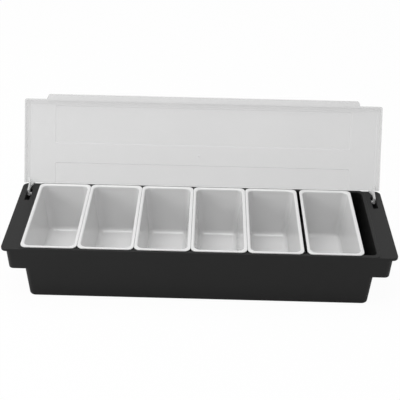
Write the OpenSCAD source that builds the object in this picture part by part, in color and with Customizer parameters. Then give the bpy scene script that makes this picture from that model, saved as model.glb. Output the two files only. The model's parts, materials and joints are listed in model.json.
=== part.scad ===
// Bar condiment caddy: a black moulded tray with a ledge at each end, six white
// lift-out inserts that hang on its rims, and one clear lid on gooseneck hinges.
// Millimetres. +X is the length, +Y the back, +Z up. The origin is the centre of
// the tray's flat underside. The lid is drawn open, leaning back on its hinges.

/* [Tray] */
// Length over the lips of both end ledges
tray_l = 495; // [470:1:520]
// Depth over the front and back rims
tray_d = 152; // [146:0.5:165]
// Height of the rims above the table
tray_h = 78; // [70:1:100]
// Width of the front and back rims, and so the thickness of those walls at the top
rim_w = 5; // [4:0.1:6]
// Thickness of the end walls, the skirts and the floor
wall = 2; // [1.6:0.1:3]
// How far the outside leans in from the rims to the foot
wall_lean = 2.3; // [0:0.1:3]
// Radius of the tray's upright corners
tray_r = 7; // [4:0.5:12]
// Radius along the tray's bottom edge
foot_r = 4; // [1:0.5:8]
// Radius of the other outer edges
edge_r = 0.8; // [0.2:0.1:1]

/* [End ledges] */
// Length of each end ledge, from the well to the edge of its lip
ledge_l = 26; // [25:0.5:32]
// Thickness of a ledge's top
ledge_t = 2.5; // [2:0.1:3]
// Depth of the skirt below the rims
skirt_h = 31.7; // [20:0.5:45]
// Overhang of the lip beyond the skirt's end wall
lip_over = 5.8; // [3:0.1:7]
// Height of the lip
lip_h = 3.5; // [3:0.1:6]
// Width of the raised rim across the ends of the well
end_rim_w = 4; // [2:0.5:5]
// Step from that rim down to the ledge
end_rim_h = 0.8; // [0.4:0.1:1.2]

/* [Well] */
// Radius where the well's end walls meet the rims
mouth_r = 0.8; // [0.4:0.1:1]
// How far an end wall leans in from the rims to the foot of the skirts
end_lean_top = 2.1; // [1:0.1:3]
// How far it leans in from there to the floor
end_lean_low = 2.2; // [1:0.1:3]
// Radius along the edge of the well's floor
well_floor_r = 3; // [1:0.5:6]

/* [Inserts] */
// Space between an insert's walls and the well's end wall, at the rims
insert_clear = 1.1; // [1:0.1:2]
// The same space at the front and back, half of it on each side
insert_end_clear = 1.2; // [1:0.1:1.6]
// How far the inserts are pushed towards the front of the well
insert_push = 0.6; // [0:0.1:0.7]
// Free length of the well beside the last insert
row_space = 16; // [8:0.5:40]
// Space between neighbouring rims
insert_gap = 0.3; // [0.3:0.1:1]
// Extra space between the last two inserts
last_gap = 3.6; // [0:0.1:6]
// Space between an insert's floor and the tray's floor
insert_lift = 4.7; // [1:0.1:30]
// Wall and floor thickness of an insert
insert_wall = 1.4; // [1.2:0.1:2.4]
// How far the rim reaches out from the walls
insert_over = 2.9; // [2.5:0.1:3.5]
// Thickness of the rim
insert_rim_t = 1.6; // [1.2:0.1:2.4]
// Radius where the rim turns down into the insert
insert_mouth_r = 2; // [1:0.1:2.5]
// How much each wall leans in from the rim to the floor
insert_taper = 5; // [4.5:0.1:7]
// Radius of the insert's upright corners below the rim
insert_r = 9; // [7:0.5:11]
// Radius of the rim's outer corners
insert_rim_r = 7; // [5:0.5:10]
// Radius between the walls and the floor, on the inside
insert_floor_r = 6; // [2:0.5:7]

/* [Lid] */
// Distance from the lid's ends to the tray's ends
lid_end_in = 2.2; // [1:0.1:3]
// Distance from the shut lid's front skirt to the tray's front
lid_front_in = 1.8; // [0:0.1:4]
// Thickness of the lid's sheet
lid_t = 2; // [1.5:0.1:2.5]
// Height of the lid's skirt below the sheet
lid_skirt = 4.1; // [3:0.1:6]
// Space between the shut lid's skirt and the inserts' rims
lid_clear = 0.3; // [0.3:0.1:1]
// Angle that the open lid leans back from upright
lid_lean = 29; // [22:1:35]
// How far the finger tongue reaches beyond the front skirt
tongue_reach = 6.8; // [4:0.1:10]
// Distance from the lid's ends to the ends of the tongue
tongue_in = 30; // [10:1:100]
// Radius of the tongue's corners
tongue_r = 4; // [1:0.5:5]
// How far each end of the tongue slants in on the way to its tip
tongue_slant = 3; // [0:0.5:6]
// Radius of the lid's front corners
lid_r = 3; // [2:0.5:6]
// Width of the thicker border along the lid's front and ends
border_w = 6.5; // [4:0.5:12]
// How much thicker that border is than the sheet
border_step = 0.4; // [0.2:0.1:1]
// Depth of the panel pressed in along the hinge edge
rear_step = 0.8; // [0.2:0.1:1]
// Depth of the front panel
front_step = 0.4; // [0.2:0.1:1]
// Distance from the lid's ends to both panels
panel_in = 42; // [30:1:80]
// Width of the rear panel
rear_panel_w = 28.7; // [15:0.1:40]
// Width of the flat between the panels
panel_flat_w = 27.3; // [10:0.1:40]
// Width of the front panel
front_panel_w = 51; // [20:0.5:52]
// Diameter of the gate mark on the flat between the panels
gate_d = 4; // [2:0.5:6]
// Height of that mark
gate_h = 0.4; // [0.2:0.1:0.8]
// How far the mark lies from the middle of the flat, along the lid
gate_off = 4.4; // [0:0.1:20]

/* [Hinges] */
// Diameter of the hinge pins
pin_d = 4; // [3:0.1:4.4]
// Radial clearance of a pin in its bore
pin_clear = 0.05; // [0.02:0.01:0.1]
// Depth of the pins' axis below the rims
pin_drop = 5.5; // [5.3:0.1:8]
// Distance of the pins' axis from the back of the tray
pin_back = 19.85; // [18:0.05:24]
// Distance from the pins' axis to the shut lid's hinge edge
hinge_set = 14.6; // [14:0.1:18]
// Distance from the end of the tray to the outside of a hinge neck
neck_in = 9.3; // [9:0.1:12]
// Thickness of a hinge neck across the tray
neck_t = 2.6; // [2:0.1:4]
// Width of a hinge neck front to back
neck_w = 5; // [4:0.1:5.4]
// How far the round foot of a neck stands out around the neck
foot_over = 0.5; // [0.2:0.1:0.8]
// Thickness of the web that runs back to the lid
web_t = 2.4; // [2:0.1:3]
// Space between that web and the ledge that stops it
web_clear = 0.3; // [0.2:0.1:0.6]
// Distance behind the pins' axis where the web starts to widen
web_flare = 9; // [9:0.5:14]
// How far it widens inwards by the lid
web_in = 4; // [1:0.1:6]
// How far it widens outwards by the end of the rib
web_out = 2.2; // [0:0.1:2.8]
// Height of the stiffening rib up the lid's sheet
rib_up = 7.6; // [4:0.1:12]
// Thickness of that rib
rib_t = 2; // [1.5:0.1:2.5]
// Width of the slot that a neck swings in
slot_w = 7; // [6:0.1:8]
// Length of that slot
slot_l = 27.5; // [24:0.1:32]
// Space behind a neck at the slot's end
slot_back = 2.3; // [0.5:0.1:3]
// Space between a neck and the slot's outer edge
slot_out = 0.9; // [0.7:0.1:1.2]
// Thickness of the cheek that carries a pin's inner end
cheek_t = 2.6; // [2:0.1:3]
// Wall around a pin's bore
boss_wall = 2; // [1.5:0.1:2.5]
// Depth of the blind bore that takes a pin's outer end
socket_depth = 1.9; // [1.2:0.1:2]
// Running space at a neck's outer face and at both ends of a pin
pin_gap = 0.4; // [0.3:0.1:0.6]

/* [Hidden] */
insert_count = 6;
// Steps round a quarter of a rounded corner
corner_steps = 8;
// How far a cutting solid runs past the face that it cuts
past = 1;

// Tray
half_l = tray_l / 2;
half_d = tray_d / 2;
skirt_x = half_l - lip_over;
lean_slope = wall_lean / tray_h;
well_x = half_l - ledge_l;
well_y = half_d - rim_w;
ledge_z = tray_h - end_rim_h;
ledge_under = ledge_z - ledge_t;
skirt_z = tray_h - skirt_h;
well_r = tray_r - 1;

// Inserts
insert_hy = well_y - insert_end_clear;
row_start = -(well_x - insert_clear + insert_over);
row_end = well_x - row_space;
insert_w = (row_end - row_start - (insert_count - 1) * insert_gap - last_gap) / insert_count;
insert_hx = insert_w / 2 - insert_over;
insert_h = tray_h - wall - insert_lift;

// Lid, in the pose that it has when shut
lid_x = half_l - lid_end_in;
lid_front = -half_d + lid_front_in;
seat_z = tray_h + insert_rim_t + lid_clear;
sheet_z = seat_z + lid_skirt;
lid_top = sheet_z + lid_t;
lid_open = 90 + lid_lean;
pin_y = half_d - pin_back;
pin_z = tray_h - pin_drop;
hinge_edge = pin_y - hinge_set;
panel_x = lid_x - panel_in;
tongue_x = lid_x - tongue_in;

// Hinges, on the side of +X
neck_out = half_l - neck_in;
neck_x = neck_out - neck_t;
slot_x1 = neck_out + slot_out;
slot_x0 = slot_x1 - slot_w;
slot_y1 = pin_y + neck_w / 2 + slot_back;
bore_d = pin_d + 2 * pin_clear;
socket_x = neck_out + pin_gap;
web_z = ledge_z + web_clear;
// Where the hinge edge of the sheet's inner face lies on the open lid
edge_y = open_y(hinge_edge, sheet_z);
edge_z = open_z(hinge_edge, sheet_z);

// Place on the open lid of a point that is given on the shut one
function open_y(y, z) = pin_y + (y - pin_y) * cos(lid_open) + (z - pin_z) * sin(lid_open);
function open_z(y, z) = pin_z - (y - pin_y) * sin(lid_open) + (z - pin_z) * cos(lid_open);

// Half depth of the tray's outside at a height
function out_y(z) = half_d - (tray_h - z) * lean_slope;
// Half length of the ledges' skirts at a height
function skirt_end(z) = skirt_x - (tray_h - z) * lean_slope;
// Half length of the well at a height, below its rounded mouth
function well_end(z) = well_x - mouth_r
    - end_lean_top * min(tray_h - z, skirt_h) / skirt_h
    - end_lean_low * max(skirt_z - z, 0) / skirt_z;

// A closed run of points round a rectangle with rounded corners, at one height
function ring(hx, hy, r, z, cx = 0, cy = 0) = [
    for (q = [0:3], i = [0:corner_steps])
        let (a = 90 * (q + i / corner_steps),
             sx = q == 0 || q == 3 ? 1 : -1,
             sy = q < 2 ? 1 : -1)
        [cx + sx * (hx - r) + r * cos(a), cy + sy * (hy - r) + r * sin(a), z]
];

// Points [distance out, height] along an arc, from one angle to another
function arc(out, z, r, from, to, steps) = [
    for (i = [0:steps])
        let (a = from + (to - from) * i / steps)
        [out + r * cos(a), z + r * sin(a)]
];

// A solid skinned over a list of rings, with a flat face on the first and the last
module skin(rings) {
    n = len(rings[0]);
    last = len(rings) - 1;
    sides = [
        for (k = [0:last - 1], i = [0:n - 1])
            let (j = (i + 1) % n)
            each [[k * n + i, (k + 1) * n + j, k * n + j],
                  [k * n + i, (k + 1) * n + i, (k + 1) * n + j]]
    ];
    polyhedron(
        points = [for (r = rings) each r],
        faces = concat([[for (i = [0:n - 1]) i]], sides,
                       [[for (i = [n - 1:-1:0]) last * n + i]]),
        convexity = 6);
}

// The tray's outside below the end ledges
module tray_body() {
    skin(concat(
        [for (p = arc(-foot_r, foot_r, foot_r, -90, 0, 3))
            ring(well_end(p[1]) + wall + p[0], out_y(p[1]) + p[0], tray_r, p[1])],
        [for (z = [skirt_z, skirt_z + past])
            ring(well_end(z) + wall, out_y(z), tray_r, z)]));
}

// The block that both skirts and the upper walls are cut from
module tray_upper() {
    skin([for (z = [skirt_z, ledge_under]) ring(skirt_end(z), out_y(z), tray_r, z)]);
}

// A slab with a rounded top edge: the ledges with their lips, or the rim above them
module tray_slab(hx, low, top) {
    skin(concat(
        [ring(hx, out_y(low), tray_r, low)],
        [for (p = arc(-edge_r, top - edge_r, edge_r, 0, 90, 3))
            ring(hx + p[0], out_y(p[1]) + p[0], tray_r, p[1])]));
}

// The well, with a rounded mouth at its ends and a rounded edge to its floor
module well() {
    skin(concat(
        [for (p = arc(-well_floor_r, wall + well_floor_r, well_floor_r, -90, 0, 3))
            ring(well_end(p[1]) + p[0], well_y + p[0], well_r, p[1])],
        [for (z = [skirt_z, tray_h - 2 * mouth_r])
            ring(well_end(z), well_y, well_r, z)],
        [ring(well_x - mouth_r / 2, well_y, well_r, tray_h - mouth_r / 2),
         ring(well_x, well_y, well_r, tray_h),
         ring(well_x, well_y, well_r, tray_h + past)]));
}

// The hollow under one end ledge, open below
module ledge_hollow() {
    skin([
        for (z = [skirt_z - past, ledge_under])
            let (x0 = well_end(z) + wall, x1 = skirt_end(z) - wall)
            ring((x1 - x0) / 2, out_y(z) - wall, well_r - wall, z, (x0 + x1) / 2)
    ]);
}

// Slot through a ledge that a hinge neck swings in
module hinge_slot() {
    translate([slot_x0, slot_y1 - slot_l, ledge_under - past])
        cube([slot_w, slot_l, ledge_t + 2 * past]);
}

// A cheek that hangs from a ledge and carries one end of a pin
module hinge_cheek(x, thick) {
    boss_r = bore_d / 2 + boss_wall;
    translate([x, pin_y, pin_z])
        rotate([90, 0, 90])
            linear_extrude(thick)
                union() {
                    circle(r = boss_r, $fn = 48);
                    translate([-boss_r, 0])
                        square([2 * boss_r, ledge_under + past / 2 - pin_z]);
                }
}

module hinge_cheeks() {
    hinge_cheek(slot_x0 - cheek_t, cheek_t);
    hinge_cheek(socket_x, skirt_end(pin_z) - wall / 2 - socket_x);
}

// The bore through the inner cheek and the blind one in the end wall
module hinge_bores() {
    for (b = [[slot_x0 - cheek_t - past, cheek_t + 2 * past],
              [socket_x - past, socket_depth + past]])
        translate([b[0], pin_y, pin_z])
            rotate([0, 90, 0])
                cylinder(d = bore_d, h = b[1], $fn = 48);
}

module tray() {
    color([0.16, 0.16, 0.17])
    difference() {
        union() {
            difference() {
                union() {
                    tray_body();
                    tray_upper();
                    tray_slab(half_l, ledge_z - lip_h, ledge_z);
                    tray_slab(well_x + end_rim_w, ledge_z - past, tray_h);
                }
                well();
                for (s = [0, 1])
                    mirror([s, 0, 0]) {
                        ledge_hollow();
                        hinge_slot();
                    }
            }
            for (s = [0, 1])
                mirror([s, 0, 0]) hinge_cheeks();
        }
        for (s = [0, 1])
            mirror([s, 0, 0]) hinge_bores();
    }
}

// One insert, skinned up its outside, over the rim and down its inside. A point of
// its profile is [distance out, height, corner radius], and the walls lean in below
// the rim without changing the radius of their corners.
module insert(k) {
    slope = insert_taper / insert_h;
    rim_r = insert_rim_t / 2;
    mouth_z = insert_rim_t - insert_mouth_r;
    inner_r = min(insert_floor_r, insert_r - insert_wall - edge_r);
    outer_r = inner_r + insert_wall / 2;
    rim_slope = (insert_rim_r - insert_r) / insert_over;
    profile = concat(
        [for (p = arc(-outer_r, outer_r - insert_h, outer_r, -90, 0, 3))
            [p[0] + p[1] * slope, p[1], insert_r + p[0]]],
        [for (p = concat([[0, -edge_r], [edge_r / 2, 0]],
                         arc(insert_over - rim_r, rim_r, rim_r, -90, 90, 4)))
            [p[0], p[1], insert_r + p[0] * rim_slope]],
        [for (p = arc(insert_mouth_r - insert_wall, mouth_z, insert_mouth_r, 90, 180, 4))
            [p[0] + min(p[1], 0) * slope, p[1], insert_r + p[0]]],
        [for (p = arc(-insert_wall - inner_r, insert_wall + inner_r - insert_h, inner_r, 0, -90, 4))
            [p[0] + p[1] * slope, p[1], insert_r + p[0]]]);
    cx = row_start + insert_w / 2 + (k - 1) * (insert_w + insert_gap)
        + (k == insert_count ? last_gap : 0);
    color([0.93, 0.93, 0.92])
    translate([cx, -insert_push, tray_h])
        skin([for (p = profile) ring(insert_hx + p[0], insert_hy + p[0], p[2], p[1])]);
}

module insert_1() { insert(1); }
module insert_2() { insert(2); }
module insert_3() { insert(3); }
module insert_4() { insert(4); }
module insert_5() { insert(5); }
module insert_6() { insert(6); }

// A shallow panel pressed into the inner face of the sheet
module panel(back, width, step) {
    translate([-panel_x, back - width, sheet_z - past])
        cube([2 * panel_x, width, step + past]);
}

// The lid's sheet and its skirt along the front and both ends, as they lie when shut
module lid_pan() {
    back = hinge_edge + border_w + lid_r;
    cy = (lid_front + back) / 2;
    hy = (back - lid_front) / 2;
    soft = lid_t / 2;
    difference() {
        skin(concat(
            [ring(lid_x, hy, lid_r, seat_z, 0, cy)],
            [for (p = arc(-soft, lid_top - soft, soft, 0, 90, 3))
                ring(lid_x + p[0], hy + p[0], lid_r, p[1], 0, cy)]));
        skin(concat(
            [for (z = [seat_z - past, sheet_z - border_step])
                ring(lid_x - lid_t, hy - lid_t, lid_r, z, 0, cy)],
            [for (z = [sheet_z - border_step, sheet_z])
                ring(lid_x - border_w, hy - border_w, lid_r, z, 0, cy)]));
        translate([-half_l, hinge_edge, seat_z - past])
            cube([tray_l, back - hinge_edge + past, lid_top - seat_z + 2 * past]);
        panel(hinge_edge + past, rear_panel_w + past, rear_step);
        panel(hinge_edge - rear_panel_w - panel_flat_w, front_panel_w, front_step);
    }
}

// Mark that the mould's gate leaves on the flat between the panels
module gate_mark() {
    translate([-gate_off, hinge_edge - rear_panel_w - panel_flat_w / 2, sheet_z - gate_h])
        cylinder(d = gate_d, h = gate_h + lid_t / 2, $fn = 32);
}

// Finger tongue along the foot of the front skirt, with ends that slant in to its tip
module tongue() {
    root = lid_front + lid_t / 2;
    tip = lid_front - tongue_reach;
    tip_x = tongue_x - tongue_slant;
    turn = 90 - atan2(tongue_slant, root - tip);
    // Centre of the rounded corner at +X
    round_x = tip_x - tongue_r * tan(turn / 2);
    translate([0, 0, seat_z])
        linear_extrude(lid_t)
            polygon(concat(
                [[-tongue_x, root]],
                [for (p = arc(-round_x, tip + tongue_r, tongue_r, 270 - turn, 270, corner_steps)) p],
                [for (p = arc(round_x, tip + tongue_r, tongue_r, -90, turn - 90, corner_steps)) p],
                [[tongue_x, root]]));
}

// One gooseneck hinge of the open lid: a neck up through the slot, a web that lies
// over the ledge and widens past the part that dips into the slot, a stiffening rib
// above it, and the pin
module gooseneck() {
    front_y = pin_y - neck_w / 2;
    flare_y = pin_y + web_flare;
    // The web ends inside the lid's sheet, and so does the rib
    web_back = edge_y + lid_t / 2;
    rib_back = edge_y + rib_up * sin(lid_lean) + lid_t / 2;
    rib_top = edge_z + rib_up * cos(lid_lean);
    web_out_x = neck_out + web_out * (web_back - flare_y) / (rib_back - flare_y);
    pin_x0 = slot_x0 - cheek_t + pin_gap;
    pin_x1 = socket_x + socket_depth - pin_gap;
    translate([neck_x, pin_y, pin_z])
        rotate([90, 0, 90])
            linear_extrude(neck_t)
                union() {
                    circle(r = neck_w / 2 + foot_over, $fn = 48);
                    translate([-neck_w / 2, 0])
                        square([neck_w, web_z + web_t - pin_z]);
                }
    translate([0, 0, web_z])
        linear_extrude(web_t)
            polygon([
                [neck_x, front_y], [neck_out, front_y], [neck_out, flare_y],
                [web_out_x, web_back], [neck_x - web_in, web_back], [neck_x, flare_y]
            ]);
    intersection() {
        translate([0, 0, web_z])
            linear_extrude(rib_top - web_z)
                polygon([
                    [neck_out - rib_t, front_y], [neck_out, front_y], [neck_out, flare_y],
                    [neck_out + web_out, rib_back], [neck_out + web_out - rib_t, rib_back],
                    [neck_out - rib_t, flare_y]
                ]);
        translate([neck_x, 0, 0])
            rotate([90, 0, 90])
                linear_extrude(neck_in)
                    polygon([
                        [front_y, web_z], [front_y, web_z + web_t],
                        [rib_back, rib_top], [web_back, web_z]
                    ]);
    }
    translate([pin_x0, pin_y, pin_z])
        rotate([0, 90, 0])
            cylinder(d = pin_d, h = pin_x1 - pin_x0, $fn = 48);
}

module lid() {
    color([0.86, 0.88, 0.89])
    union() {
        translate([0, pin_y, pin_z])
            rotate([-lid_open, 0, 0])
                translate([0, -pin_y, -pin_z]) {
                    lid_pan();
                    gate_mark();
                    tongue();
                }
        for (s = [0, 1])
            mirror([s, 0, 0]) gooseneck();
    }
}

tray();
lid();
insert_1();
insert_2();
insert_3();
insert_4();
insert_5();
insert_6();
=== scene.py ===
"""Looks of a bar condiment caddy: black moulded tray, six white inserts, frosted lid.

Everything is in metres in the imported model's frame: +X is the length, +Y the back, +Z up,
with the origin at the centre of the tray's flat underside.
"""
import json
import math

import bmesh
import bpy
from mathutils import Matrix, Vector


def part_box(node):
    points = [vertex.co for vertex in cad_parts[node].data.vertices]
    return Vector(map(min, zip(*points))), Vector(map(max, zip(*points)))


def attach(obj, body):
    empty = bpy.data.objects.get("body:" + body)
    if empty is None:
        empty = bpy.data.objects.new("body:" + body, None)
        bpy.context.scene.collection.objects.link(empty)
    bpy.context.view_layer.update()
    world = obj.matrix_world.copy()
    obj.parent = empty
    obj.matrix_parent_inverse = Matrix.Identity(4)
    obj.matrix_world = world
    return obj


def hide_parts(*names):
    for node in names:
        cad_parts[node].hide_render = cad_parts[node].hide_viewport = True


MM = 0.001

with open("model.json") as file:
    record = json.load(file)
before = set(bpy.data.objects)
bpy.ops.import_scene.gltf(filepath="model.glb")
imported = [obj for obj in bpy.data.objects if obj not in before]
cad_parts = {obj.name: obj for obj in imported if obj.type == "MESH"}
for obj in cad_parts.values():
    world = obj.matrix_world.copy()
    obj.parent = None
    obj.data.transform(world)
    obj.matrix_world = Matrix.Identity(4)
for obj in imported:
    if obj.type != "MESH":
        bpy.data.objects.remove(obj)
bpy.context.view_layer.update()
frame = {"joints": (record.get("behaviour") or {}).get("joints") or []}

# Sizes that the frame gives
HALF_L, HALF_D, TRAY_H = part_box("tray")[1]
HINGE = next(joint for joint in frame["joints"] if joint["name"] == "lid_hinge")
PIN_Y, PIN_Z = HINGE["pos_m"][1:]
LID_OPEN = math.radians(-HINGE["range_deg"][0])

# Tray
RIM_W = 5 * MM  # front and back rims
WALL = 2 * MM
WALL_LEAN = 2.3 * MM  # how far the outside leans in from the top to the foot
TRAY_R = 7 * MM  # corners, seen from above
FOOT_R = 4 * MM
EDGE_R = 0.8 * MM  # upper edges, and under the inserts' rims
LEDGE_L = 26 * MM  # from the well to the tray's end
LEDGE_T = 2.5 * MM
SKIRT_H = 31.7 * MM  # from the tray's top to the foot of the skirts
LIP_OVER = 5.8 * MM  # how far the ledge's lip stands out over its skirt
LIP_H = 3.5 * MM
END_RIM_W = 4 * MM  # raised rim across each end of the well
END_RIM_H = 0.8 * MM
MOUTH_R = 0.8 * MM  # slope at the top of the well's ends
END_LEAN_TOP = 2.1 * MM  # how far the well's ends lean in down to the foot of the skirts
END_LEAN_LOW = 2.2 * MM  # how far they lean in from there to the floor
WELL_R = 6 * MM
WELL_FLOOR_R = 3 * MM
TRAY_SOFT = 0.3 * MM  # rounding of the edges that are still sharp
LEDGE_Z = TRAY_H - END_RIM_H
LEDGE_UNDER = LEDGE_Z - LEDGE_T
SKIRT_Z = TRAY_H - SKIRT_H
SKIRT_X = HALF_L - LIP_OVER
WELL_X = HALF_L - LEDGE_L
WELL_Y = HALF_D - RIM_W

# Inserts
INSERT_COUNT = 6
INSERT_WALL = 1.4 * MM
INSERT_OVER = 2.9 * MM  # how far the rim stands out from the wall
INSERT_RIM_T = 1.6 * MM
INSERT_RIM_EDGE = 0.4 * MM  # squarer than in the solids, as in the photograph
INSERT_MOUTH_R = 2 * MM
INSERT_TAPER = 5 * MM  # how far a wall leans in from the rim to the floor
INSERT_R = 9 * MM
INSERT_RIM_R = 7 * MM
INSERT_FLOOR_R = 6 * MM

# Lid, as it lies when shut
LID_T = 2 * MM
LID_SKIRT = 4.1 * MM  # from the sheet to the foot of its skirt
LID_CLEAR = 0.3 * MM  # over the inserts' rims
LID_R = 3 * MM
LID_END_IN = 2.2 * MM  # from the tray's end to the lid's
LID_FRONT_IN = 1.8 * MM  # from the tray's front to the lid's
LID_SOFT = 0.25 * MM  # rounding of the edges that are still sharp
BORDER_W = 6.5 * MM
BORDER_STEP = 0.4 * MM  # how much thicker the border is than the sheet
HINGE_SET = 14.6 * MM  # from the pin forward to the sheet's hinge edge
LID_X = HALF_L - LID_END_IN
LID_FRONT = -HALF_D + LID_FRONT_IN
HINGE_EDGE = PIN_Y - HINGE_SET
SEAT_Z = TRAY_H + INSERT_RIM_T + LID_CLEAR
SHEET_Z = SEAT_Z + LID_SKIRT
LID_TOP = SHEET_Z + LID_T
LID_LEAN = LID_OPEN - math.pi / 2

# Finger tongue
TONGUE_REACH = 6.8 * MM
TONGUE_IN = 30 * MM  # from the lid's end to the tongue's
TONGUE_R = 4 * MM
TONGUE_SLANT = 3 * MM

# Panels and gate mark. The front panel is 0.2 mm deeper than in the solids, and the mark
# stands out 0.2 mm more, so that their faint edges show.
PANEL_IN = 42 * MM  # from the lid's end to the panels'
PANEL_R = 2 * MM
STEP_RUN = 0.7 * MM  # width of the sloping edges of panels and border
REAR_PANEL_W = 28.7 * MM
REAR_STEP = 0.8 * MM
PANEL_FLAT_W = 27.3 * MM  # between the panels
FRONT_PANEL_W = 51 * MM
FRONT_STEP = 0.6 * MM
GATE_D = 4 * MM
GATE_H = 0.6 * MM
GATE_OFF = 4.4 * MM  # to the left of the middle
# Shares of the mark's radius and height, from its root to its tip
GATE_DOME = ((1, 0), (0.8, 0.5), (0.4, 0.9), (0.1, 1))

# Hinges
PIN_D = 4 * MM
NECK_IN = 9.3 * MM  # from the tray's end to the neck
NECK_T = 2.6 * MM
NECK_W = 5 * MM
FOOT_OVER = 0.5 * MM  # how far the neck's round foot stands out
WEB_T = 2.4 * MM
WEB_CLEAR = 0.3 * MM  # over the ledge
WEB_FLARE = 9 * MM  # from the pin back to where the web widens
WEB_IN = 4 * MM  # how far it widens towards the middle
WEB_OUT = 2.2 * MM  # how far the rib swings out towards the end
RIB_UP = 7.6 * MM  # how far the rib climbs the sheet
RIB_T = 2 * MM
SLOT_W = 7 * MM
SLOT_L = 27.5 * MM
SLOT_BACK = 2.3 * MM  # from the neck's back to the slot's end
SLOT_OUT = 0.9 * MM  # from the neck's outer face to the slot's edge
CHEEK_T = 2.6 * MM
BOSS_R = 4.05 * MM
BORE_R = 2.05 * MM
SOCKET_DEPTH = 1.9 * MM
PIN_GAP = 0.4 * MM  # room at each end of the pin, and outside the neck
NECK_OUT = HALF_L - NECK_IN
NECK_X = NECK_OUT - NECK_T
NECK_FRONT = PIN_Y - NECK_W / 2
NECK_BACK = PIN_Y + NECK_W / 2
SLOT_X1 = NECK_OUT + SLOT_OUT
SLOT_X0 = SLOT_X1 - SLOT_W
SLOT_Y1 = NECK_BACK + SLOT_BACK
CHEEK_X = SLOT_X0 - CHEEK_T
SOCKET_X = NECK_OUT + PIN_GAP
SOCKET_END = SOCKET_X + SOCKET_DEPTH
WEB_Z = LEDGE_Z + WEB_CLEAR
WEB_TOP = WEB_Z + WEB_T
FLARE_Y = PIN_Y + WEB_FLARE

# How many flats make up each curve
CORNER_STEPS = 14
CIRCLE_STEPS = 40
FOOT_STEPS = 8
EDGE_STEPS = 5
WELL_FLOOR_STEPS = 6
CHEEK_STEPS = 20
INSERT_FOOT_STEPS = 8
INSERT_RIM_STEPS = 4
INSERT_MOUTH_STEPS = 8
INSERT_FLOOR_STEPS = 12
LID_EDGE_STEPS = 6
TONGUE_STEPS = 10
NECK_STEPS = 24
SOFT_STEPS = 2

# How far a cutting solid runs past the face that it cuts
PAST = 1 * MM
# Faces that meet at more degrees than this have a sharp edge between them
SHARP_ANGLE = 24
# Points closer than this are one point
MERGE = 0.002 * MM
# The strongest preference for large faces in the shading, which keeps them flat
LARGE_FACE_WEIGHT = 100

# Layers of noise in the slow changes of a material, and in its fine grain
CLOUD_DETAIL = 3
GRAIN_DETAIL = 2
# The middle of a noise's range, which holds nearly all of it
NOISE_LOW = 0.3
NOISE_HIGH = 0.7
# How much each face of the thin sheet, and of the thicker hinges, hides what is behind it
SHEET_ALPHA = 0.42
HINGE_ALPHA = 0.8

# World, floor and lamps
WORLD_LIGHT = 0.5
FLOOR_HALF = 6
FLOOR_DROP = 0.2 * MM
FLOOR_GREY = 0.85
FLOOR_ROUGHNESS = 0.9
# How much of the floor's colour is plain white to the camera: the rest keeps the shadow
FLOOR_WHITE_SHARE = 0.96
LAMP_TARGET = Vector((0, 0, 0.05))

# The photograph's camera, found from the tray's straight edges and the lid's corners
PHOTO_PX = 400
FOCAL_PX = 822.9
SENSOR_MM = 36
YAW = math.radians(-0.63)
PITCH = math.radians(33.915)
ROLL = math.radians(1.085)
CAMERA_PLACE = Vector((8.81, -884.38, 701.21)) * MM


# Outlines and solids

def arc(out, z, radius, start, end, steps):
    """Points (distance out, height) along an arc between two angles in degrees."""
    angles = [math.radians(start + (end - start) * i / steps) for i in range(steps + 1)]
    return [(out + radius * math.cos(a), z + radius * math.sin(a)) for a in angles]


def circle(cy, cz, radius):
    """A round outline for a prism along X."""
    return arc(cy, cz, radius, 0, 360, CIRCLE_STEPS)[:-1]


def ring(hx, hy, radius, z, cx=0.0, cy=0.0):
    """A closed run of points round a rectangle with rounded corners."""
    points = []
    for quarter in range(4):
        sx = 1 if quarter in (0, 3) else -1
        sy = 1 if quarter < 2 else -1
        for i in range(CORNER_STEPS + 1):
            a = math.pi / 2 * (quarter + i / CORNER_STEPS)
            x = cx + sx * (hx - radius) + radius * math.cos(a)
            y = cy + sy * (hy - radius) + radius * math.sin(a)
            points.append((x, y, z))
    return points


def add_object(name, data):
    """A new object in the scene for a mesh, a lamp or a camera."""
    obj = bpy.data.objects.new(name, data)
    bpy.context.scene.collection.objects.link(obj)
    return obj


def make_object(name, bm):
    """An object around a finished mesh, its normals all outwards."""
    bmesh.ops.recalc_face_normals(bm, faces=bm.faces)
    mesh = bpy.data.meshes.new(name)
    bm.to_mesh(mesh)
    bm.free()
    return add_object(name, mesh)


def loft(name, rings):
    """A closed solid skinned over rings, with a flat face on the first and the last."""
    bm = bmesh.new()
    rows = [[bm.verts.new(point) for point in points] for points in rings]
    for low, high in zip(rows, rows[1:]):
        for i in range(len(low)):
            j = (i + 1) % len(low)
            bm.faces.new((low[i], low[j], high[j], high[i]))
    bm.faces.new(rows[0])
    bm.faces.new(rows[-1])
    return make_object(name, bm)


def prism(name, outline, axis, start, end):
    """A flat outline pulled out along X, or along Z."""
    if axis == "x":
        rings = [[(t, a, b) for a, b in outline] for t in (start, end)]
    else:
        rings = [[(a, b, t) for a, b in outline] for t in (start, end)]
    return loft(name, rings)


def box(name, lo, hi):
    """A block between two corners."""
    outline = [(lo[0], lo[1]), (hi[0], lo[1]), (hi[0], hi[1]), (lo[0], hi[1])]
    return prism(name, outline, "z", lo[2], hi[2])


def both_sides(solid):
    """A solid and its mirror image on the other side of the caddy's middle."""
    mesh = solid.data.copy()
    mesh.transform(Matrix.Scale(-1, 4, Vector((1, 0, 0))))
    mesh.flip_normals()
    return [solid, add_object(solid.name + "_twin", mesh)]


def apply_modifiers(obj):
    """Makes a piece's evaluated mesh its own mesh."""
    graph = bpy.context.evaluated_depsgraph_get()
    mesh = bpy.data.meshes.new_from_object(obj.evaluated_get(graph))
    obj.modifiers.clear()
    obj.data = mesh


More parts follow.
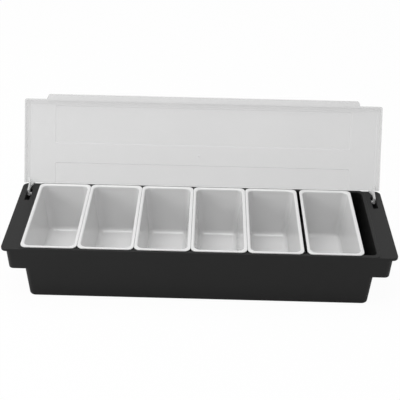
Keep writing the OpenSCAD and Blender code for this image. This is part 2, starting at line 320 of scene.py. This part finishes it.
def combine(base, others, operation):
    """Joins solids to a base, or cuts them out of it, and deletes them."""
    for other in others:
        step = base.modifiers.new("step", "BOOLEAN")
        step.operation = operation
        step.solver = "MANIFOLD"
        step.material_mode = "TRANSFER"
        step.object = other
        apply_modifiers(base)
        bpy.data.objects.remove(other)
    return base


def soften(obj, width):
    """Rounds a moulded piece's sharp edges, and clears what is left too small to see."""
    bevel = obj.modifiers.new("soft_edges", "BEVEL")
    bevel.width = width
    bevel.segments = SOFT_STEPS
    bevel.limit_method = "ANGLE"
    bevel.angle_limit = math.radians(SHARP_ANGLE)
    apply_modifiers(obj)
    bm = bmesh.new()
    bm.from_mesh(obj.data)
    bmesh.ops.remove_doubles(bm, verts=bm.verts, dist=MERGE)
    bmesh.ops.dissolve_degenerate(bm, edges=bm.edges, dist=MERGE)
    loose = [edge for edge in bm.edges if not edge.link_faces]
    bmesh.ops.delete(bm, geom=loose, context="EDGES")
    bm.to_mesh(obj.data)
    bm.free()


def shade(obj):
    """Smooth shading that keeps large flat faces flat and real corners sharp."""
    obj.data.shade_smooth()
    obj.data.set_sharp_from_angle(angle=math.radians(SHARP_ANGLE))
    normals = obj.modifiers.new("flat_faces", "WEIGHTED_NORMAL")
    normals.mode = "FACE_AREA"
    normals.weight = LARGE_FACE_WEIGHT
    normals.keep_sharp = True
    apply_modifiers(obj)


def paint(obj, material):
    """Gives a whole piece one material."""
    obj.data.materials.clear()
    obj.data.materials.append(material)
    return obj


def finish_shell(obj, name, node):
    """Shades a piece and lets it stand for its CAD node."""
    shade(obj)
    obj.name = name
    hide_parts(node)
    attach(obj, node)


# Tray

def out_y(z):
    """Half depth of the tray's outside at a height."""
    return HALF_D - (TRAY_H - z) * WALL_LEAN / TRAY_H


def skirt_end(z):
    """Half length of the ledges' skirts at a height."""
    return SKIRT_X - (TRAY_H - z) * WALL_LEAN / TRAY_H


def well_end(z):
    """Half length of the well at a height, below the slope at its top."""
    upper = END_LEAN_TOP * min(TRAY_H - z, SKIRT_H) / SKIRT_H
    lower = END_LEAN_LOW * max(SKIRT_Z - z, 0) / SKIRT_Z
    return WELL_X - MOUTH_R - upper - lower


def tray_body():
    """The body below the ledges' skirts, on its rounded foot."""
    foot = [ring(well_end(z) + WALL + d, out_y(z) + d, TRAY_R, z)
            for d, z in arc(-FOOT_R, FOOT_R, FOOT_R, -90, 0, FOOT_STEPS)]
    top = [ring(well_end(z) + WALL, out_y(z), TRAY_R, z) for z in (SKIRT_Z, SKIRT_Z + PAST)]
    return loft("tray", foot + top)


def tray_upper():
    """The longer part above the body, out to the ledges' skirts."""
    return loft("upper", [ring(skirt_end(z), out_y(z), TRAY_R, z)
                          for z in (SKIRT_Z, LEDGE_UNDER)])


def tray_slab(name, hx, low, top):
    """A layer of the tray's top with a rounded upper edge."""
    edge = [ring(hx + d, out_y(z) + d, TRAY_R, z)
            for d, z in arc(-EDGE_R, top - EDGE_R, EDGE_R, 0, 90, EDGE_STEPS)]
    return loft(name, [ring(hx, out_y(low), TRAY_R, low)] + edge)


def well():
    """The cut that the inserts hang in, with leaning ends that slope away at the top."""
    floor = [ring(well_end(z) + d, WELL_Y + d, WELL_R, z)
             for d, z in arc(-WELL_FLOOR_R, WALL + WELL_FLOOR_R, WELL_FLOOR_R, -90, 0,
                             WELL_FLOOR_STEPS)]
    walls = [ring(well_end(z), WELL_Y, WELL_R, z) for z in (SKIRT_Z, TRAY_H - 2 * MOUTH_R)]
    mouth = [ring(WELL_X - MOUTH_R / 2, WELL_Y, WELL_R, TRAY_H - MOUTH_R / 2),
             ring(WELL_X, WELL_Y, WELL_R, TRAY_H),
             ring(WELL_X, WELL_Y, WELL_R, TRAY_H + PAST)]
    return loft("well", floor + walls + mouth)


def ledge_hollow():
    """The cut that leaves a ledge and its skirt as thin walls."""
    rings = []
    for z in (SKIRT_Z - PAST, LEDGE_UNDER):
        x0 = well_end(z) + WALL
        x1 = skirt_end(z) - WALL
        rings.append(ring((x1 - x0) / 2, out_y(z) - WALL, WELL_R - WALL, z, (x0 + x1) / 2))
    return loft("hollow", rings)


def hinge_slot():
    """The cut through a ledge that a gooseneck passes through."""
    return box("slot", (SLOT_X0, SLOT_Y1 - SLOT_L, LEDGE_UNDER - PAST),
               (SLOT_X1, SLOT_Y1, LEDGE_Z + PAST))


def hinge_cheek(x0, x1):
    """A cheek with a round foot that hangs under a ledge."""
    top = LEDGE_UNDER + PAST / 2
    foot = arc(PIN_Y, PIN_Z, BOSS_R, 180, 360, CHEEK_STEPS)
    return prism("cheek", foot + [(PIN_Y + BOSS_R, top), (PIN_Y - BOSS_R, top)], "x", x0, x1)


def pin_bore(x0, x1):
    """The cut for a hinge pin."""
    return prism("bore", circle(PIN_Y, PIN_Z, BORE_R), "x", x0, x1)


def make_tray(material):
    """The whole tray: two ledges, a well, and two cheeks for each hinge pin."""
    tray = tray_body()
    combine(tray, [tray_upper(),
                   tray_slab("ledges", HALF_L, LEDGE_Z - LIP_H, LEDGE_Z),
                   tray_slab("rim", WELL_X + END_RIM_W, LEDGE_Z - PAST, TRAY_H)], "UNION")
    combine(tray, [well()] + both_sides(ledge_hollow()) + both_sides(hinge_slot()),
            "DIFFERENCE")
    skirt_middle = skirt_end(PIN_Z) - WALL / 2
    combine(tray, both_sides(hinge_cheek(CHEEK_X, SLOT_X0)), "UNION")
    combine(tray, both_sides(hinge_cheek(SOCKET_X, skirt_middle)), "UNION")
    combine(tray, both_sides(pin_bore(CHEEK_X - PAST, SLOT_X0 + PAST)), "DIFFERENCE")
    combine(tray, both_sides(pin_bore(SOCKET_X - PAST, SOCKET_END)), "DIFFERENCE")
    soften(tray, TRAY_SOFT)
    paint(tray, material)
    finish_shell(tray, "tray_shell", "tray")


# Inserts

def insert_profile(height):
    """Points (distance out, height above the rims, corner radius) round an insert's wall."""
    slope = INSERT_TAPER / height
    edge = INSERT_RIM_EDGE
    rim_slope = (INSERT_RIM_R - INSERT_R) / INSERT_OVER
    foot_r = INSERT_FLOOR_R + INSERT_WALL / 2
    outside = arc(-foot_r, foot_r - height, foot_r, -90, 0, INSERT_FOOT_STEPS)
    rim = [(0, -EDGE_R), (EDGE_R / 2, 0)]
    rim += arc(INSERT_OVER - edge, edge, edge, -90, 0, INSERT_RIM_STEPS)
    rim += arc(INSERT_OVER - edge, INSERT_RIM_T - edge, edge, 0, 90, INSERT_RIM_STEPS)
    mouth = arc(INSERT_MOUTH_R - INSERT_WALL, INSERT_RIM_T - INSERT_MOUTH_R, INSERT_MOUTH_R,
                90, 180, INSERT_MOUTH_STEPS)
    inside = arc(-INSERT_WALL - INSERT_FLOOR_R, INSERT_WALL + INSERT_FLOOR_R - height,
                 INSERT_FLOOR_R, 0, -90, INSERT_FLOOR_STEPS)
    return ([(d + z * slope, z, INSERT_R + d) for d, z in outside]
            + [(d, z, INSERT_R + d * rim_slope) for d, z in rim]
            + [(d + min(z, 0) * slope, z, INSERT_R + d) for d, z in mouth]
            + [(d + z * slope, z, INSERT_R + d) for d, z in inside])


def make_insert(number, material):
    """One insert, skinned up its outside, over the rim and down its inside."""
    lo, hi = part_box(f"insert_{number}")
    centre = (lo + hi) / 2
    hx = (hi.x - lo.x) / 2 - INSERT_OVER
    hy = (hi.y - lo.y) / 2 - INSERT_OVER
    obj = loft("insert", [ring(hx + d, hy + d, radius, TRAY_H + z, centre.x, centre.y)
                          for d, z, radius in insert_profile(TRAY_H - lo.z)])
    paint(obj, material)
    finish_shell(obj, f"insert_shell_{number}", f"insert_{number}")


# Lid

def lid_pan():
    """The sheet and its skirt along the front and both ends, as they lie when shut."""
    back = HINGE_EDGE + BORDER_W + LID_R
    cy = (LID_FRONT + back) / 2
    hy = (back - LID_FRONT) / 2
    edge_r = LID_T / 2
    outside = [ring(LID_X, hy, LID_R, SEAT_Z, 0, cy)]
    outside += [ring(LID_X + d, hy + d, LID_R, z, 0, cy)
                for d, z in arc(-edge_r, LID_TOP - edge_r, edge_r, 0, 90, LID_EDGE_STEPS)]
    border_z = SHEET_Z - BORDER_STEP
    inside = [ring(LID_X - LID_T, hy - LID_T, LID_R, z, 0, cy)
              for z in (SEAT_Z - PAST, border_z)]
    inside += [ring(LID_X - BORDER_W + d, hy - BORDER_W + d, LID_R + d, z, 0, cy)
               for d, z in ((STEP_RUN / 2, border_z), (-STEP_RUN / 2, SHEET_Z))]
    hinge_side = box("hinge_side", (-HALF_L, HINGE_EDGE, SEAT_Z - PAST),
                     (HALF_L, back + PAST, LID_TOP + PAST))
    return combine(loft("pan", outside),
                   [loft("inside", inside), hinge_side, rear_panel(), front_panel()],
                   "DIFFERENCE")


def panel_cut(name, y0, y1, depth):
    """The cut for a shallow panel in the sheet's inner face, with a sloping edge."""
    hx = LID_X - PANEL_IN
    hy = (y1 - y0) / 2
    slope = ((STEP_RUN / 2, SHEET_Z - PAST), (STEP_RUN / 2, SHEET_Z),
             (-STEP_RUN / 2, SHEET_Z + depth))
    return loft(name, [ring(hx + d, hy + d, PANEL_R + d, z, 0, (y0 + y1) / 2)
                       for d, z in slope])


def rear_panel():
    """The panel along the hinge edge, which it runs past."""
    past_edge = HINGE_EDGE + PANEL_R + STEP_RUN
    return panel_cut("rear_panel", HINGE_EDGE - REAR_PANEL_W, past_edge, REAR_STEP)


def front_panel():
    """The wider panel towards the lid's front."""
    back = HINGE_EDGE - REAR_PANEL_W - PANEL_FLAT_W
    return panel_cut("front_panel", back - FRONT_PANEL_W, back, FRONT_STEP)


def gate_mark():
    """The mark that the mould's gate leaves on the flat between the panels."""
    middle = HINGE_EDGE - REAR_PANEL_W - PANEL_FLAT_W / 2
    root = GATE_D / 2
    sides = [(root, SHEET_Z + LID_T / 2)]
    sides += [(wide * root, SHEET_Z - high * GATE_H) for wide, high in GATE_DOME]
    return loft("gate", [ring(r, r, r, z, -GATE_OFF, middle) for r, z in sides])


def tongue():
    """Finger tongue along the foot of the front skirt, with ends that slant in to its tip."""
    root = LID_FRONT + LID_T / 2
    tip = LID_FRONT - TONGUE_REACH
    root_x = LID_X - TONGUE_IN
    turn = 90 - math.degrees(math.atan2(TONGUE_SLANT, root - tip))
    round_x = root_x - TONGUE_SLANT - TONGUE_R * math.tan(math.radians(turn / 2))
    outline = [(-root_x, root)]
    outline += arc(-round_x, tip + TONGUE_R, TONGUE_R, 270 - turn, 270, TONGUE_STEPS)
    outline += arc(round_x, tip + TONGUE_R, TONGUE_R, -90, turn - 90, TONGUE_STEPS)
    outline += [(root_x, root)]
    return prism("tongue", outline, "z", SEAT_Z, SEAT_Z + LID_T)


def opened(y, z):
    """Place on the open lid of a point (y, z) of the shut one."""
    c = math.cos(LID_OPEN)
    s = math.sin(LID_OPEN)
    return (PIN_Y + (y - PIN_Y) * c + (z - PIN_Z) * s,
            PIN_Z - (y - PIN_Y) * s + (z - PIN_Z) * c)


def hinge_neck():
    """The upright neck of a hinge, with a round foot about its pin."""
    outline = arc(PIN_Y, PIN_Z, NECK_W / 2 + FOOT_OVER, 180, 360, NECK_STEPS)
    outline += [(NECK_BACK, PIN_Z), (NECK_BACK, WEB_TOP), (NECK_FRONT, WEB_TOP),
                (NECK_FRONT, PIN_Z)]
    return prism("neck", outline, "x", NECK_X, NECK_OUT)


def hinge_web(back, out_x):
    """The flat web from the neck back to the sheet, which widens on the way."""
    outline = [(NECK_X, NECK_FRONT), (NECK_OUT, NECK_FRONT), (NECK_OUT, FLARE_Y),
               (out_x, back), (NECK_X - WEB_IN, back), (NECK_X, FLARE_Y)]
    return prism("web", outline, "z", WEB_Z, WEB_TOP)


def hinge_rib(web_back, back, top):
    """The stiffening rib along the web's outer edge, which rises to the sheet."""
    out_x = NECK_OUT + WEB_OUT
    from_above = [(NECK_OUT - RIB_T, NECK_FRONT), (NECK_OUT, NECK_FRONT), (NECK_OUT, FLARE_Y),
                  (out_x, back), (out_x - RIB_T, back), (NECK_OUT - RIB_T, FLARE_Y)]
    from_side = [(NECK_FRONT, WEB_Z), (NECK_FRONT, WEB_TOP), (back, top), (web_back, WEB_Z)]
    rib = prism("rib", from_above, "z", WEB_Z, top)
    return combine(rib, [prism("rib_side", from_side, "x", NECK_X, HALF_L)], "INTERSECT")


def hinge_pin():
    """The pin, from within the inner cheek's bore to within the outer cheek's socket."""
    return prism("pin", circle(PIN_Y, PIN_Z, PIN_D / 2), "x",
                 CHEEK_X + PIN_GAP, SOCKET_END - PIN_GAP)


def gooseneck():
    """Neck, web, stiffening rib and pin of one hinge, as they stand when open."""
    edge_y, edge_z = opened(HINGE_EDGE, SHEET_Z)
    web_back = edge_y + LID_T / 2
    rib_back = edge_y + RIB_UP * math.sin(LID_LEAN) + LID_T / 2
    rib_top = edge_z + RIB_UP * math.cos(LID_LEAN)
    web_out_x = NECK_OUT + WEB_OUT * (web_back - FLARE_Y) / (rib_back - FLARE_Y)
    return combine(hinge_neck(), [hinge_web(web_back, web_out_x),
                                  hinge_rib(web_back, rib_back, rib_top),
                                  hinge_pin()], "UNION")


def make_lid(material, hinge_material):
    """The whole lid, opened as in the photograph, with a hinge at each end."""
    lid = lid_pan()
    combine(lid, [gate_mark(), tongue()], "UNION")
    paint(lid, material)
    pivot = Matrix.Translation((0, PIN_Y, PIN_Z))
    lid.data.transform(pivot @ Matrix.Rotation(-LID_OPEN, 4, "X") @ pivot.inverted())
    combine(lid, both_sides(paint(gooseneck(), hinge_material)), "UNION")
    soften(lid, LID_SOFT)
    finish_shell(lid, "lid_shell", "lid")


# Materials

def new_material(name):
    """A material with a Principled shader, and that shader."""
    material = bpy.data.materials.new(name)
    material.use_nodes = True
    return material, material.node_tree.nodes["Principled BSDF"]


def add_noise(tree, scale, detail):
    """Noise in the object's own metres."""
    place = tree.nodes.new("ShaderNodeTexCoord")
    noise = tree.nodes.new("ShaderNodeTexNoise")
    noise.inputs["Scale"].default_value = scale
    noise.inputs["Detail"].default_value = detail
    tree.links.new(place.outputs["Object"], noise.inputs["Vector"])
    return noise.outputs["Fac"]


def spread(tree, noise, low, high):
    """A number that varies from low to high with a noise."""
    mapper = tree.nodes.new("ShaderNodeMapRange")
    mapper.inputs["From Min"].default_value = NOISE_LOW
    mapper.inputs["From Max"].default_value = NOISE_HIGH
    mapper.inputs["To Min"].default_value = low
    mapper.inputs["To Max"].default_value = high
    tree.links.new(noise, mapper.inputs["Value"])
    return mapper.outputs["Result"]


def grey_ramp(tree, noise, dark, light):
    """A grey that varies from dark to light with a noise."""
    ramp = tree.nodes.new("ShaderNodeValToRGB")
    for stop, position, grey in zip(ramp.color_ramp.elements, (NOISE_LOW, NOISE_HIGH),
                                    (dark, light)):
        stop.position = position
        stop.color = (grey, grey, grey, 1)
    tree.links.new(noise, ramp.inputs["Fac"])
    return ramp.outputs["Color"]


def add_bump(tree, shader, height, depth):
    """Raises and lowers a surface by a depth with a height from 0 to 1."""
    bump = tree.nodes.new("ShaderNodeBump")
    bump.inputs["Distance"].default_value = depth
    tree.links.new(height, bump.inputs["Height"])
    tree.links.new(bump.outputs["Normal"], shader.inputs["Normal"])


def moulded_plastic(name, grey, roughness, cloud_scale, grain_scale, grain_depth):
    """Plastic whose grey and roughness vary slowly, with the mould's fine grain."""
    material, shader = new_material(name)
    tree = material.node_tree
    clouds = add_noise(tree, cloud_scale, CLOUD_DETAIL)
    tree.links.new(grey_ramp(tree, clouds, *grey), shader.inputs["Base Color"])
    tree.links.new(spread(tree, clouds, *roughness), shader.inputs["Roughness"])
    add_bump(tree, shader, add_noise(tree, grain_scale, GRAIN_DETAIL), grain_depth)
    return material, shader


def black_plastic():
    """Satin black with the fine grain of a textured mould."""
    material, shader = moulded_plastic("black_plastic", grey=(0.0055, 0.0075),
                                       roughness=(0.42, 0.50), cloud_scale=14,
                                       grain_scale=2600, grain_depth=0.03 * MM)
    shader.inputs["Specular IOR Level"].default_value = 0.24
    return material


def white_plastic():
    """Glossy white, a little uneven where it cooled."""
    material, shader = moulded_plastic("white_plastic", grey=(0.69, 0.71),
                                       roughness=(0.10, 0.14), cloud_scale=22,
                                       grain_scale=1400, grain_depth=0.002 * MM)
    shader.inputs["IOR"].default_value = 1.59
    return material


def frosted_plastic(name, alpha):
    """Milky plastic that lets part of what is behind it through at each face."""
    material, shader = moulded_plastic(name, grey=(0.57, 0.59),
                                       roughness=(0.40, 0.48), cloud_scale=10,
                                       grain_scale=1800, grain_depth=0.01 * MM)
    shader.inputs["Alpha"].default_value = alpha
    return material


# Stage

def see_white(tree):
    """One where the camera, a reflection or clear plastic looks at the background."""
    path = tree.nodes.new("ShaderNodeLightPath")
    seen = path.outputs["Is Camera Ray"]
    for ray in ("Is Transmission Ray", "Is Glossy Ray"):
        either = tree.nodes.new("ShaderNodeMath")
        either.operation = "MAXIMUM"
        tree.links.new(seen, either.inputs[0])
        tree.links.new(path.outputs[ray], either.inputs[1])
        seen = either.outputs["Value"]
    return seen


def mix_surfaces(tree, share, first, second, output):
    """Gives an output the first shader where the share is 0, and the second where it is 1."""
    mix = tree.nodes.new("ShaderNodeMixShader")
    tree.links.new(share, mix.inputs["Fac"])
    tree.links.new(first, mix.inputs[1])
    tree.links.new(second, mix.inputs[2])
    tree.links.new(mix.outputs["Shader"], tree.nodes[output].inputs["Surface"])


def make_world():
    """Soft light from all round, with a white background."""
    world = bpy.data.worlds.new("studio")
    world.use_nodes = True
    bpy.context.scene.world = world
    tree = world.node_tree
    light = tree.nodes["Background"]
    light.inputs["Color"].default_value = (1, 1, 1, 1)
    light.inputs["Strength"].default_value = WORLD_LIGHT
    backdrop = tree.nodes.new("ShaderNodeBackground")
    backdrop.inputs["Color"].default_value = (1, 1, 1, 1)
    mix_surfaces(tree, see_white(tree), light.outputs["Background"],
                 backdrop.outputs["Background"], "World Output")


def floor_paint():
    """Pale paint that the camera sees as nearly white, with a faint shadow on it."""
    material, shader = new_material("floor_paint")
    tree = material.node_tree
    shader.inputs["Base Color"].default_value = (FLOOR_GREY, FLOOR_GREY, FLOOR_GREY, 1)
    shader.inputs["Roughness"].default_value = FLOOR_ROUGHNESS
    shader.inputs["Specular IOR Level"].default_value = 0
    glow = tree.nodes.new("ShaderNodeEmission")
    path = tree.nodes.new("ShaderNodeLightPath")
    share = tree.nodes.new("ShaderNodeMath")
    share.operation = "MULTIPLY"
    share.inputs[1].default_value = FLOOR_WHITE_SHARE
    tree.links.new(path.outputs["Is Camera Ray"], share.inputs[0])
    mix_surfaces(tree, share.outputs["Value"], shader.outputs["BSDF"],
                 glow.outputs["Emission"], "Material Output")
    return material


def make_floor():
    """A wide floor a hair below the tray's underside."""
    bm = bmesh.new()
    corners = ((-1, -1), (1, -1), (1, 1), (-1, 1))
    bm.faces.new([bm.verts.new((x * FLOOR_HALF, y * FLOOR_HALF, 0)) for x, y in corners])
    floor = make_object("floor", bm)
    floor.location.z = -FLOOR_DROP
    paint(floor, floor_paint())


def add_lamp(name, place, size, watts):
    """A square soft lamp that points at the caddy."""
    data = bpy.data.lights.new(name, "AREA")
    data.size = size
    data.energy = watts
    lamp = add_object(name, data)
    lamp.location = place
    lamp.rotation_euler = (LAMP_TARGET - Vector(place)).to_track_quat("-Z", "Y").to_euler()


def make_lamps():
    """A large lamp overhead and a weaker one in front, on the left."""
    add_lamp("top_lamp", place=(-0.3, 0, 1.6), size=1.2, watts=15)
    add_lamp("left_lamp", place=(-1.4, -0.9, 0.9), size=0.8, watts=8)


def make_camera():
    """The photograph's camera: turned by yaw, tipped down by pitch, then rolled."""
    forward = Vector((math.sin(YAW) * math.cos(PITCH), math.cos(YAW) * math.cos(PITCH),
                      -math.sin(PITCH)))
    level = Vector((math.cos(YAW), -math.sin(YAW), 0))
    upright = level.cross(forward)
    right = level * math.cos(ROLL) + upright * math.sin(ROLL)
    up = upright * math.cos(ROLL) - level * math.sin(ROLL)
    data = bpy.data.cameras.new("camera")
    data.sensor_width = SENSOR_MM
    data.lens = FOCAL_PX / PHOTO_PX * SENSOR_MM
    camera = add_object("camera", data)
    camera.matrix_world = Matrix((right, up, -forward)).transposed().to_4x4()
    camera.location = CAMERA_PLACE
    bpy.context.scene.camera = camera


def main():
    """The eight pieces of the caddy, and the stage around them."""
    bpy.context.scene.view_settings.view_transform = "Standard"
    make_tray(black_plastic())
    white = white_plastic()
    for number in range(1, INSERT_COUNT + 1):
        make_insert(number, white)
    make_lid(frosted_plastic("frosted_sheet", SHEET_ALPHA),
             frosted_plastic("frosted_hinge", HINGE_ALPHA))
    make_world()
    make_floor()
    make_lamps()
    make_camera()


main()
